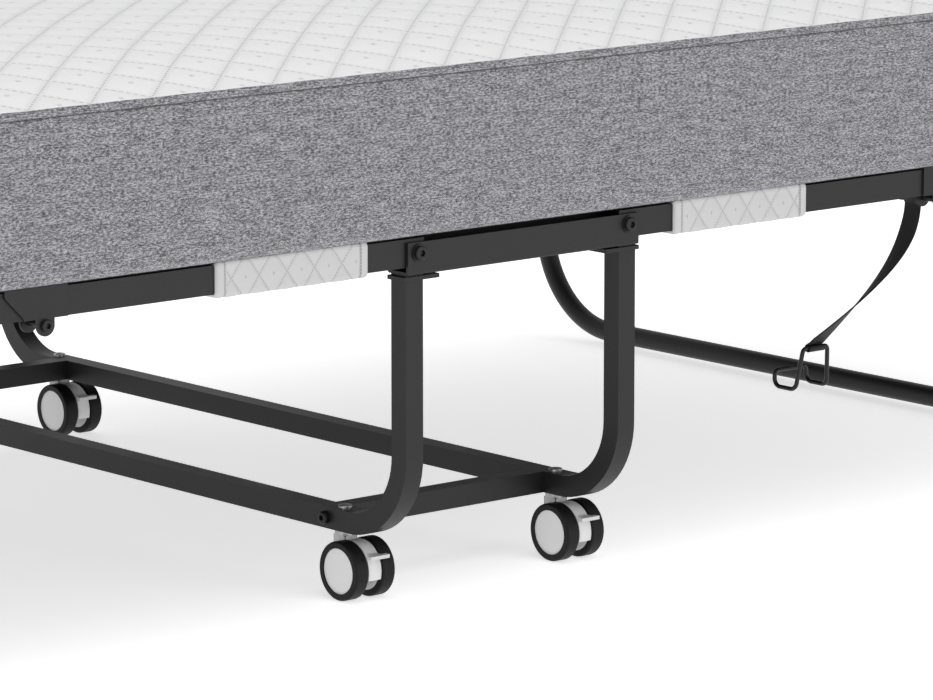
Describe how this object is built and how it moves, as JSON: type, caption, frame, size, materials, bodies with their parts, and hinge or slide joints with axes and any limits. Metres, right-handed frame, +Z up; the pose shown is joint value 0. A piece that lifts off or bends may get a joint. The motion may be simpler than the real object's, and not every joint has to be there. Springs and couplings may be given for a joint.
{
  "type": "folding cot",
  "caption": "Rollaway folding cot: steel frame that folds upwards in half over a cart on swivel casters, U legs, quilted foam mattress and a lock strap with a wire hook.",
  "frame": {"origin": "on the floor, under the middle of the bed", "axes": "+X along the bed, +Y across it, +Z up"},
  "size_m": [1.904, 0.9618, 0.486],
  "materials": {
    "frame_paint": "satin",
    "deck_wire": "satin",
    "black_bolt": "satin",
    "zinc": "satin",
    "caster_grey": "matte",
    "lever_grey": "matte",
    "tyre": "matte",
    "hub_grey": "satin",
    "foot_plastic": "matte",
    "sleeve_quilt": "matte",
    "mattress_border": "matte",
    "mattress_quilt": "matte",
    "webbing": "matte",
    "hook_wire": "satin"
  },
  "bodies": {
    "base": {"cart_u_frame_left": "frame_paint", "cart_u_frame_right": "frame_paint", "cross_tube_near": "frame_paint", "cross_tube_far": "frame_paint", "cross_tube_bolts": "black_bolt", "post_cap_plates": "frame_paint", "centre_channel_near": "frame_paint", "centre_channel_far": "frame_paint", "centre_deck_wires": "deck_wire", "pivot_bolts": "black_bolt", "caster_stem_screws": "zinc", "caster_stem_left_near": "zinc", "caster_stem_left_far": "zinc", "caster_stem_right_near": "zinc", "caster_stem_right_far": "zinc", "mattress_core_centre": "mattress_border", "mattress_fold_left": "mattress_quilt", "mattress_fold_right": "mattress_quilt"},
    "left_half": {"inner_rail_left_near": "frame_paint", "inner_rail_left_far": "frame_paint", "end_frame_left": "frame_paint", "splice_brackets_left": "frame_paint", "splice_bolts_left": "black_bolt", "deck_wires_left": "deck_wire", "rail_sleeves_left": "sleeve_quilt", "leg_hinge_bolts_left": "black_bolt", "mattress_core_left": "mattress_border", "mattress_top_left": "mattress_quilt"},
    "left_leg": {"leg_frame_left": "frame_paint", "leg_foot_clips_left": "foot_plastic"},
    "right_half": {"inner_rail_right_near": "frame_paint", "inner_rail_right_far": "frame_paint", "end_frame_right": "frame_paint", "splice_brackets_right": "frame_paint", "splice_bolts_right": "black_bolt", "deck_wires_right": "deck_wire", "rail_sleeves_right": "sleeve_quilt", "leg_hinge_bolts_right": "black_bolt", "mattress_core_right": "mattress_border", "mattress_top_right": "mattress_quilt"},
    "right_leg": {"leg_frame_right": "frame_paint", "leg_foot_clips_right": "foot_plastic"},
    "caster_left_near": {"caster_housing_left_near": "caster_grey"},
    "wheels_left_near": {"caster_tyres_left_near": "tyre", "caster_hubs_left_near": "hub_grey"},
    "lever_left_near": {"brake_lever_left_near": "lever_grey"},
    "caster_left_far": {"caster_housing_left_far": "caster_grey"},
    "wheels_left_far": {"caster_tyres_left_far": "tyre", "caster_hubs_left_far": "hub_grey"},
    "lever_left_far": {"brake_lever_left_far": "lever_grey"},
    "caster_right_near": {"caster_housing_right_near": "caster_grey"},
    "wheels_right_near": {"caster_tyres_right_near": "tyre", "caster_hubs_right_near": "hub_grey"},
    "lever_right_near": {"brake_lever_right_near": "lever_grey"},
    "caster_right_far": {"caster_housing_right_far": "caster_grey"},
    "wheels_right_far": {"caster_tyres_right_far": "tyre", "caster_hubs_right_far": "hub_grey"},
    "lever_right_far": {"brake_lever_right_far": "lever_grey"},
    "strap": {"lock_strap": "webbing", "strap_hook": "hook_wire"}
  },
  "joints": [
    {"name": "left_fold", "type": "hinge", "parent": "base", "child": "left_half", "pos_m": [-0.1153, 0, 0.30135], "axis": [0, 1, 0], "range_deg": [0, 90], "deforming": ["mattress_top_left", "mattress_fold_left"]},
    {"name": "left_leg_fold", "type": "hinge", "parent": "left_half", "child": "left_leg", "pos_m": [-0.828, 0, 0.30135], "axis": [0, -1, 0], "range_deg": [0, 84]},
    {"name": "right_fold", "type": "hinge", "parent": "base", "child": "right_half", "pos_m": [0.1153, 0, 0.30135], "axis": [0, -1, 0], "range_deg": [0, 90], "deforming": ["mattress_top_right", "mattress_fold_right"]},
    {"name": "right_leg_fold", "type": "hinge", "parent": "right_half", "child": "right_leg", "pos_m": [0.828, 0, 0.30135], "axis": [0, 1, 0], "range_deg": [0, 84]},
    {"name": "swivel_left_near", "type": "hinge", "parent": "base", "child": "caster_left_near", "pos_m": [-0.1171, -0.361, 0.05], "axis": [0, 0, 1], "continuous": true},
    {"name": "wheel_left_near", "type": "hinge", "parent": "caster_left_near", "child": "wheels_left_near", "pos_m": [-0.1171, -0.3764, 0.0252], "axis": [1, 0, 0], "continuous": true},
    {"name": "brake_left_near", "type": "hinge", "parent": "caster_left_near", "child": "lever_left_near", "pos_m": [-0.1171, -0.39243, 0.03923], "axis": [1, 0, 0], "range_deg": [0, 14]},
    {"name": "swivel_left_far", "type": "hinge", "parent": "base", "child": "caster_left_far", "pos_m": [-0.1171, 0.361, 0.05], "axis": [0, 0, 1], "continuous": true},
    {"name": "wheel_left_far", "type": "hinge", "parent": "caster_left_far", "child": "wheels_left_far", "pos_m": [-0.1171, 0.3456, 0.0252], "axis": [1, 0, 0], "continuous": true},
    {"name": "brake_left_far", "type": "hinge", "parent": "caster_left_far", "child": "lever_left_far", "pos_m": [-0.1171, 0.32957, 0.03923], "axis": [1, 0, 0], "range_deg": [0, 14]},
    {"name": "swivel_right_near", "type": "hinge", "parent": "base", "child": "caster_right_near", "pos_m": [0.1171, -0.361, 0.05], "axis": [0, 0, 1], "continuous": true},
    {"name": "wheel_right_near", "type": "hinge", "parent": "caster_right_near", "child": "wheels_right_near", "pos_m": [0.1171, -0.3764, 0.0252], "axis": [1, 0, 0], "continuous": true},
    {"name": "brake_right_near", "type": "hinge", "parent": "caster_right_near", "child": "lever_right_near", "pos_m": [0.1171, -0.39243, 0.03923], "axis": [1, 0, 0], "range_deg": [0, 14]},
    {"name": "swivel_right_far", "type": "hinge", "parent": "base", "child": "caster_right_far", "pos_m": [0.1171, 0.361, 0.05], "axis": [0, 0, 1], "continuous": true},
    {"name": "wheel_right_far", "type": "hinge", "parent": "caster_right_far", "child": "wheels_right_far", "pos_m": [0.1171, 0.3456, 0.0252], "axis": [1, 0, 0], "continuous": true},
    {"name": "brake_right_far", "type": "hinge", "parent": "caster_right_far", "child": "lever_right_far", "pos_m": [0.1171, 0.32957, 0.03923], "axis": [1, 0, 0], "range_deg": [0, 14]},
    {"name": "strap_swing", "type": "hinge", "parent": "right_half", "child": "strap", "pos_m": [0.49, -0.4195, 0.2842], "axis": [0, 1, 0], "range_deg": [-35, 35]}
  ]
}
